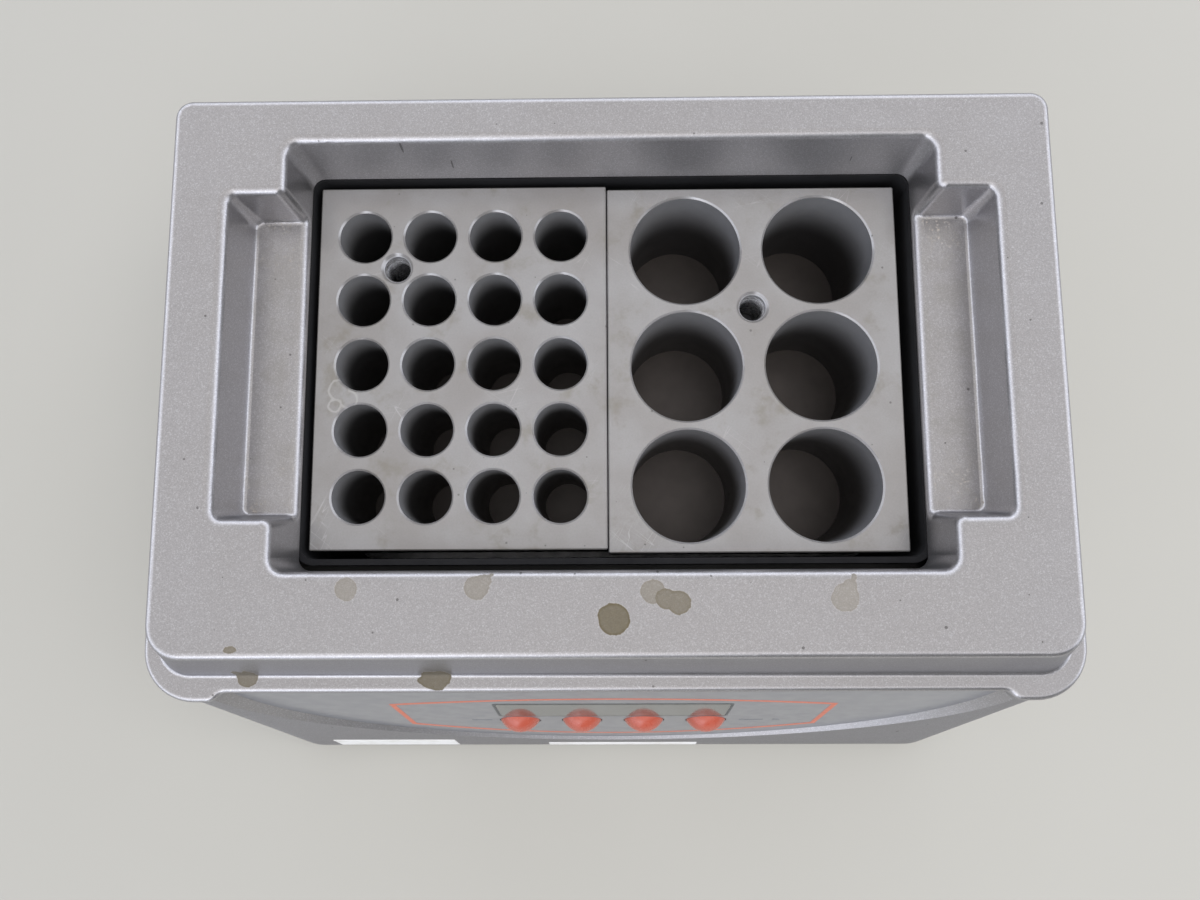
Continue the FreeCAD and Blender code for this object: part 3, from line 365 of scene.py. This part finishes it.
def moulded(name, colour, roughness, grain=0.6 * MM, depth=0.02 * MM):
    """Moulded plastic or rubber: fine texture, uneven gloss and a little dust."""
    f = Finish(name, colour, roughness)
    lighter = tuple(min(1.0, 1.35 * part + 0.003) for part in colour)
    f.colour(f.mix(f.span(f.noise(18 * MM, 4), 0.35, 0.8), colour, lighter))
    f.roughness(f.span(f.noise(6 * MM, 3), 0.2, 0.8, roughness - 0.06, roughness + 0.1))
    f.bump(f.noise(grain, 2, 0.6), depth, 0.5)
    return f.material


def machined(name, colour, roughness):
    """Bare metal part, with a fine grain and slight spots."""
    f = Finish(name, colour, roughness, 1.0)
    f.colour(f.mix(f.span(f.noise(4 * MM, 4), 0.35, 0.75), shade(0.7, colour), colour))
    f.roughness(f.span(f.noise(2 * MM, 3), 0.2, 0.8, roughness - 0.08, roughness + 0.1))
    f.bump(f.noise(0.35 * MM, 2, 0.6), 0.01 * MM, 0.4)
    return f.material


def panel_film():
    """Printed polyester film: fine matt texture on silver print, with a soft clear gloss."""
    f = Finish("panel_film", (0.42, 0.425, 0.45), 0.34, 0.25, Coat_Weight=0.35, Coat_Roughness=0.12)
    base = f.mix(f.noise(30 * MM, 3), (0.168, 0.175, 0.203), (0.190, 0.198, 0.222))
    f.colour(f.mix(f.span(f.noise(0.4 * MM, 2), 0.3, 0.7, 0.0, 0.12), base, (0.22, 0.22, 0.24)))
    f.roughness(f.span(f.noise(5 * MM, 3), 0.2, 0.8, 0.28, 0.38))
    f.bump(f.noise(0.35 * MM, 2, 0.6), 0.008 * MM, 0.35)
    return f.material


def window_glass():
    """Smoked acrylic over an unlit display."""
    f = Finish("window_glass", (0.10, 0.105, 0.10), 0.06, 0.0)
    smear = f.noise(7 * MM, 4, 0.6, f.stretched((1.0, 0.4, 0.4)))
    f.colour(f.mix(f.span(smear, 0.3, 0.8), (0.085, 0.09, 0.085), (0.12, 0.125, 0.12)))
    f.roughness(f.span(smear, 0.3, 0.8, 0.05, 0.12))
    f.bump(f.noise(12 * MM, 1), 0.02 * MM, 0.15)
    return f.material


def orange_button():
    """Glossy moulded buttons, a little worn and grimy, with painted shade on the upper half of the dome."""
    f = Finish("orange_button", (0.70, 0.13, 0.06), 0.3, 0.0, Coat_Weight=0.25, Coat_Roughness=0.15)
    worn = f.span(f.noise(2.5 * MM, 4, 0.6), 0.45, 0.8)
    base = f.mix(worn, (0.58, 0.105, 0.055), (0.62, 0.150, 0.098))
    base = f.mix(f.span(f.noise(0.8 * MM, 3), 0.62, 0.8, 0.0, 0.35), base, (0.35, 0.08, 0.05))
    # Painted shade on the upper half of each dome, where the ledge above shades it.
    above = f.span(f.axes()[2], BUTTON_Z, BUTTON_Z + 2.5 * MM)
    f.colour(f.mix(f.math("MULTIPLY", above, 0.65), base, (0.22, 0.055, 0.040)))
    f.roughness(f.span(worn, 0.0, 1.0, 0.26, 0.42))
    f.bump(f.noise(0.5 * MM, 2), 0.01 * MM, 0.3)
    return f.material


def printed(name, colour):
    """Screen print on the film: slightly uneven ink."""
    f = Finish(name, colour, 0.42)
    thin = tuple(0.75 * part + 0.1 for part in colour)
    f.colour(f.mix(f.span(f.noise(1.5 * MM, 4, 0.7), 0.5, 0.8, 0.0, 0.5), colour, thin))
    f.roughness(f.span(f.noise(1.0 * MM, 2), 0.2, 0.8, 0.35, 0.5))
    f.bump(f.noise(0.3 * MM, 2), 0.005 * MM, 0.3)
    return f.material


def circuit_board():
    """Green solder mask with lighter tracks under it."""
    f = Finish("circuit_board", (0.02, 0.12, 0.05), 0.35)
    far, pick = f.cells(3 * MM)
    track = f.span(f.math("FRACT", f.math("MULTIPLY", f.axes(pick)[0], 7.0)), 0.5, 0.55)
    f.colour(f.mix(track, (0.015, 0.10, 0.04), (0.03, 0.17, 0.07)))
    f.roughness(f.span(f.noise(2 * MM, 2), 0.2, 0.8, 0.28, 0.42))
    f.bump(far, 0.02 * MM, 0.2)
    return f.material


def label_paper():
    """Blank adhesive label, a little yellowed and scuffed."""
    f = Finish("label_paper", (0.74, 0.75, 0.75), 0.5)
    f.colour(f.mix(f.span(f.noise(6 * MM, 4, 0.6), 0.4, 0.8), (0.77, 0.78, 0.79), (0.64, 0.64, 0.62)))
    f.roughness(f.span(f.noise(2 * MM, 2), 0.2, 0.8, 0.42, 0.6))
    f.bump(f.noise(0.2 * MM, 3), 0.006 * MM, 0.4)
    return f.material


FINISHES = {
    "black_rubber": moulded("black_rubber", (0.018, 0.018, 0.019), 0.75, 0.5 * MM, 0.03 * MM),
    "dark_plastic": moulded("dark_plastic", (0.045, 0.046, 0.049), 0.5),
    "steel_screw": machined("steel_screw", (0.50, 0.50, 0.51), 0.3),
    "panel_film": panel_film(),
    "window_glass": window_glass(),
    "display_grey": moulded("display_grey", (0.12, 0.125, 0.12), 0.4),
    "circuit_board": circuit_board(),
    "block_aluminium": block_aluminium(),
    # The liner is black plastic, made darker than the other blacks as painted shade in the deep gap round
    # the blocks.
    "liner_black": moulded("liner_black", (0.004, 0.004, 0.005), 0.75, 0.8 * MM),
    "foam_black": moulded("foam_black", (0.03, 0.03, 0.03), 0.9, 0.9 * MM, 0.15 * MM),
    "plate_aluminium": machined("plate_aluminium", (0.62, 0.62, 0.63), 0.38),
    "white_ceramic": moulded("white_ceramic", (0.72, 0.71, 0.69), 0.45),
    "inlet_black": moulded("inlet_black", (0.022, 0.022, 0.024), 0.38, 0.4 * MM, 0.01 * MM),
    "brass_pins": machined("brass_pins", (0.62, 0.46, 0.22), 0.28),
    "fuse_glass": moulded("fuse_glass", (0.62, 0.63, 0.62), 0.2, 0.5 * MM, 0.005 * MM),
    "orange_button": orange_button(),
}
PAINTS = {
    "top_cover": silver_paint("cover_paint", DROPS),
    # The housing gets a darker copy of the cover's paint: painted shade on its walls.
    "lower_housing": silver_paint("shaded_housing_paint", tone=0.88, gloss=0.42),
}
for node, cad in frame["nodes"].items():
    for held in cad.material_slots:
        held.material = PAINTS.get(node) or FINISHES[held.material.name.split(".")[0]]


# ---- pieces added to the CAD model --------------------------------------------------------------

def placed(name, data):
    """A new object in the scene."""
    made = bpy.data.objects.new(name, data)
    bpy.context.collection.objects.link(made)
    return made


def mesh_of(shape, name):
    """The shape as a mesh. This uses the shape up."""
    mesh = bpy.data.meshes.new(name)
    shape.to_mesh(mesh)
    shape.free()
    return mesh


def piece(name, shape, body, material):
    """Adds a closed shape that rides a body, with the given material."""
    bmesh.ops.recalc_face_normals(shape, faces=shape.faces)
    made = placed(name, mesh_of(shape, name))
    made.data.materials.append(material)
    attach(made, body)


def join(shape, low, high):
    """Faces between two closed loops with as many points."""
    for i in range(len(low)):
        after = (i + 1) % len(low)
        shape.faces.new((low[i], low[after], high[after], high[i]))


def lift_thread(body, hole):
    """Coarse thread in a lifting hole: a ridge of blunt triangular section wound up the wall.

    The ridge grows over its first turn and dies away over its last.
    """
    pitch, turns, steps = 1.25 * MM, 12, 48
    # The ridge's root lies just inside the wall of the hole.
    outer, inner = 3.42 * MM, 2.95 * MM
    start = BLOCK_TOP - 0.9 * MM - pitch * (turns + 0.5)
    # Radius, and rise in pitches.
    section = [(outer, -0.46), (inner, -0.07), (inner, 0.07), (outer, 0.46)]
    shape = bmesh.new()
    rings = []
    for i in range(turns * steps + 1):
        angle = 2 * math.pi * i / steps
        level = start + pitch * i / steps
        fade = min(1.0, (i + 1) / steps, (turns * steps + 1 - i) / steps)
        ring = []
        for radius, rise in section:
            reach = outer + (radius - outer) * fade
            ring.append(shape.verts.new((hole.x + reach * math.cos(angle),
                                         hole.y + reach * math.sin(angle), level + rise * pitch)))
        rings.append(ring)
    for low, high in zip(rings, rings[1:]):
        join(shape, low, high)
    shape.faces.new(rings[0][::-1])
    shape.faces.new(rings[-1])
    piece(body + "_lift_thread", shape, body, THREAD)


def on_panel(x, drop, out):
    """Point x across, drop down the slope from the window's middle, and out of the panel's face."""
    return PANEL_FACE + Vector((x, 0, 0)) + PANEL_DOWN * drop + PANEL_OUT * out


def print_between(name, outer, inner, material):
    """Printed band on the panel between two outlines with as many points, a film of ink thick."""
    shape = bmesh.new()
    loops = []
    for points, out in ((outer, 0.0), (inner, 0.0), (inner, INK), (outer, INK)):
        loops.append([shape.verts.new(on_panel(x, drop, out - INK_SINK)) for x, drop in points])
    for first, second in zip(loops, loops[1:] + loops[:1]):
        join(shape, first, second)
    piece(name, shape, "housing", material)


def print_fill(name, outlines, material):
    """Small filled printed shapes on the panel."""
    shape = bmesh.new()
    for points in outlines:
        low = [shape.verts.new(on_panel(x, drop, -INK_SINK)) for x, drop in points]
        high = [shape.verts.new(on_panel(x, drop, INK)) for x, drop in points]
        shape.faces.new(low)
        shape.faces.new(high[::-1])
        join(shape, low, high)
    piece(name, shape, "housing", material)


def lens_outline(inset, steps=40):
    """The orange line's shape: upright ends, a shallow arch above and a deep bow below."""
    half = LENS_HALF - inset
    points = []
    for i in range(steps + 1):
        across = -1 + 2 * i / steps
        points.append((across * half, LENS_TOP + LENS_ARCH * across ** 2 + inset))
    for i in range(steps + 1):
        across = 1 - 2 * i / steps
        points.append((across * half, LENS_FOOT - LENS_BOW * across ** 2 - inset))
    return points


def box_outline(half_x, half_drop, radius, steps=6):
    """A rectangle with round corners, about the window's middle."""
    points = []
    for quarter, (side, end) in enumerate(((1, 1), (-1, 1), (-1, -1), (1, -1))):
        for i in range(steps + 1):
            angle = math.pi / 2 * (quarter + i / steps)
            points.append((side * (half_x - radius) + radius * math.cos(angle),
                           end * (half_drop - radius) + radius * math.sin(angle)))
    return points


def rim(grid):
    """The border of a grid of points, once round."""
    return (grid[0] + [line[-1] for line in grid[1:]] + grid[-1][-2::-1]
            + [line[0] for line in grid[-2:0:-1]])


def wall_label(name, left, right, foot, top):
    """Blank label that lies on the front wall: a grid of points cast onto the housing."""
    housing = frame["nodes"]["lower_housing"].data
    tree = BVHTree.FromPolygons([vertex.co for vertex in housing.vertices],
                                [face.vertices for face in housing.polygons])
    columns, rows, thick = 24, 6, 0.12 * MM
    shape = bmesh.new()
    sheets = []
    for out in (0.0, thick):
        grid = []
        for j in range(rows + 1):
            line = []
            for i in range(columns + 1):
                x, z = left + (right - left) * i / columns, foot + (top - foot) * j / rows
                point, normal, _, _ = tree.ray_cast(Vector((x, IN_FRONT_Y, z)), Vector((0, 1, 0)))
                line.append(shape.verts.new(point + normal * out))
            grid.append(line)
        sheets.append(grid)
    for grid in sheets:
        for j in range(rows):
            for i in range(columns):
                shape.faces.new((grid[j][i], grid[j][i + 1], grid[j + 1][i + 1], grid[j + 1][i]))
    join(shape, rim(sheets[0]), rim(sheets[1]))
    piece(name, shape, "housing", PAPER)


def triangle(x, drop, size, turn):
    """Even triangle whose first corner points turn radians from +X, towards the foot of the panel."""
    return [(x + size * math.cos(turn + corner), drop + size * math.sin(turn + corner))
            for corner in (0.0, 2 * math.pi / 3, 4 * math.pi / 3)]


def bar(x, drop, length, height):
    return [(x - length / 2, drop - height / 2), (x + length / 2, drop - height / 2),
            (x + length / 2, drop + height / 2), (x - length / 2, drop + height / 2)]


THREAD = machined("thread_aluminium", (0.80, 0.80, 0.81), 0.22)
ORANGE_INK = printed("orange_ink", (0.52, 0.135, 0.080))
DARK_INK = printed("dark_ink", (0.055, 0.06, 0.065))
GREY_INK = printed("grey_ink", (0.13, 0.14, 0.16))
PAPER = label_paper()

# The window stands proud of the film, so the level of the film's face comes from the film.
film = frame["nodes"]["panel_overlay"].data
film_out = max((vertex.co - WINDOW).dot(PANEL_OUT) for vertex in film.vertices)
PANEL_FACE = WINDOW + PANEL_OUT * film_out

# A print's thickness, and how far it is sunk into the film.
INK = 0.05 * MM
INK_SINK = 0.01 * MM

# The orange line's half length, its top and foot down the panel from the window's middle,
# how far they bend back towards the ends, and the line's width.
LENS_HALF = 60.4 * MM
LENS_TOP = -16.5 * MM
LENS_ARCH = 7.0 * MM
LENS_FOOT = 39.8 * MM
LENS_BOW = 17.8 * MM
LENS_LINE = 1.5 * MM

# The dark border goes from just outside the window's edge to this far outside it.
BORDER = 0.9 * MM
BORDER_GAP = 0.15 * MM
HALF_X = (window_high.x - window_low.x) / 2
HALF_DROP = abs((window_high - window_low).dot(PANEL_DOWN)) / 2

# Generic marks by the buttons.
MARK = 1.3 * MM
LOWER_MARKS_DROP = 28.5 * MM
SIDE_MARKS_DROP = 15.5 * MM
MARKS = [
    triangle(-9.1 * MM, LOWER_MARKS_DROP, MARK, -math.pi / 2),
    triangle(9.1 * MM, LOWER_MARKS_DROP, MARK, math.pi / 2),
    bar(-38.5 * MM, SIDE_MARKS_DROP, 6.0 * MM, 0.9 * MM),
    bar(40.5 * MM, SIDE_MARKS_DROP, 7.0 * MM, 0.9 * MM),
    triangle(47.5 * MM, SIDE_MARKS_DROP, MARK, 0.0),
]

# The labels' left, right, foot and top. They are cast onto the wall from a point in front of it.
LABELS = {
    "front_label_left": (-92 * MM, -52 * MM, 6.2 * MM, 17.0 * MM),
    "front_label_middle": (-21.5 * MM, 28 * MM, 5.4 * MM, 10.2 * MM),
}
IN_FRONT_Y = -0.2

for body, hole in LIFT_HOLES.items():
    lift_thread(body, hole)
print_between("orange_outline_print", lens_outline(0.0), lens_outline(LENS_LINE), ORANGE_INK)
print_between("window_border_print", box_outline(HALF_X + BORDER, HALF_DROP + BORDER, 1.4 * MM),
              box_outline(HALF_X + BORDER_GAP, HALF_DROP + BORDER_GAP, 0.8 * MM), DARK_INK)
print_fill("button_marks_print", MARKS, GREY_INK)
for name, sides in LABELS.items():
    wall_label(name, *sides)


# ---- stage, light and camera ----------------------------------------------------------------------

# Colour of the room by the sine of the height above the horizon.
ROOM = [
    (0.00, (0.52, 0.56, 0.64)),
    (0.16, (0.84, 0.89, 1.0)),
    (0.46, (0.90, 0.925, 1.0)),
    (0.64, (0.49, 0.495, 0.515)),
    (0.82, (0.350, 0.345, 0.348)),
    (1.00, (0.362, 0.353, 0.352)),
]
ROOM_LEVEL = 1.84

# Patches of the room: (direction, cosine where it starts, cosine where it is full, gain).
ROOM_PATCHES = [
    ((0.5, -1.0, 0.1), 0.72, 0.90, 0.03),
    ((-0.5, -1.0, 0.15), 0.85, 0.97, 1.02),
    ((0.0, -0.8, 0.72), 0.82, 0.95, 1.75),
]

CEILING_PLACE = (0.35, -0.15, 1.5)
CEILING_AIM = (0.0, 0.0, 0.08)
CEILING_SIZE = 1.3
CEILING_POWER = 28.5
CEILING_COLOUR = (1.0, 0.975, 0.94)

CAMERA_PLACE = (-0.16 * MM, -30.34 * MM, 311.0 * MM)
CAMERA_TURN = (0.1282, 0.0125, -0.0045)
CAMERA_LENS = 26.02
SENSOR_WIDTH = 36.0


def stage_floor():
    """A plain pale bench top."""
    shape = bmesh.new()
    bmesh.ops.create_grid(shape, x_segments=2, y_segments=2, size=3.0)
    made = placed("bench_top", mesh_of(shape, "bench_top"))
    f = Finish("bench_laminate", (0.6, 0.6, 0.57), 0.5)
    f.colour(f.mix(f.noise(0.12, 4), (0.314, 0.312, 0.294), (0.334, 0.332, 0.315)))
    f.bump(f.noise(1.2 * MM, 2), 0.02 * MM, 0.2)
    made.data.materials.append(f.material)


def room_light():
    """Soft room: bright all round above the horizon, duller overhead, dim to the front right."""
    world = bpy.data.worlds.new("room")
    bpy.context.scene.world = world
    world.use_nodes = True
    tree = world.node_tree

    def node(kind, *inputs, **settings):
        made = tree.nodes.new("ShaderNode" + kind)
        for key, value in settings.items():
            setattr(made, key, value)
        for socket, value in zip(made.inputs, inputs):
            if isinstance(value, bpy.types.NodeSocket):
                tree.links.new(value, socket)
            else:
                socket.default_value = value
        return made

    way = node("TexCoord").outputs["Generated"]
    rise = node("SeparateXYZ", way).outputs[2]
    ramp = node("ValToRGB", rise)
    while len(ramp.color_ramp.elements) < len(ROOM):
        ramp.color_ramp.elements.new(0.5)
    for element, (place, colour) in zip(ramp.color_ramp.elements, ROOM):
        element.position = place
        element.color = (*colour, 1.0)
    level = 1.0
    for aim, narrow, wide, gain in ROOM_PATCHES:
        facing = node("VectorMath", way, Vector(aim).normalized(), operation="DOT_PRODUCT").outputs["Value"]
        patch = node("MapRange", facing, narrow, wide, 1.0, gain, interpolation_type="SMOOTHSTEP")
        level = node("Math", patch.outputs[0], level, operation="MULTIPLY").outputs[0]
    back = tree.nodes["Background"]
    tree.links.new(ramp.outputs[0], back.inputs["Color"])
    strength = node("Math", level, ROOM_LEVEL, operation="MULTIPLY").outputs[0]
    tree.links.new(strength, back.inputs["Strength"])


def ceiling_light():
    """Wide lamp that lights matt surfaces, but isn't mirrored in glossy ones."""
    data = bpy.data.lights.new("ceiling_light", "AREA")
    data.shape = "RECTANGLE"
    data.size = CEILING_SIZE
    data.size_y = CEILING_SIZE
    data.energy = CEILING_POWER
    data.color = CEILING_COLOUR
    made = placed("ceiling_light", data)
    made.location = CEILING_PLACE
    made.rotation_mode = "QUATERNION"
    made.rotation_quaternion = (Vector(CEILING_AIM) - Vector(CEILING_PLACE)).to_track_quat("-Z", "Y")
    made.visible_camera = False
    made.visible_glossy = False


def camera():
    """Looks down from above the front edge, a little off plumb."""
    data = bpy.data.cameras.new("camera")
    data.sensor_width = SENSOR_WIDTH
    data.lens = CAMERA_LENS
    data.clip_start = 0.01
    made = placed("camera", data)
    made.rotation_mode = "ZXY"
    made.rotation_euler = CAMERA_TURN
    made.location = CAMERA_PLACE
    bpy.context.scene.camera = made


stage_floor()
room_light()
ceiling_light()
camera()
bpy.context.scene.view_settings.view_transform = "Standard"
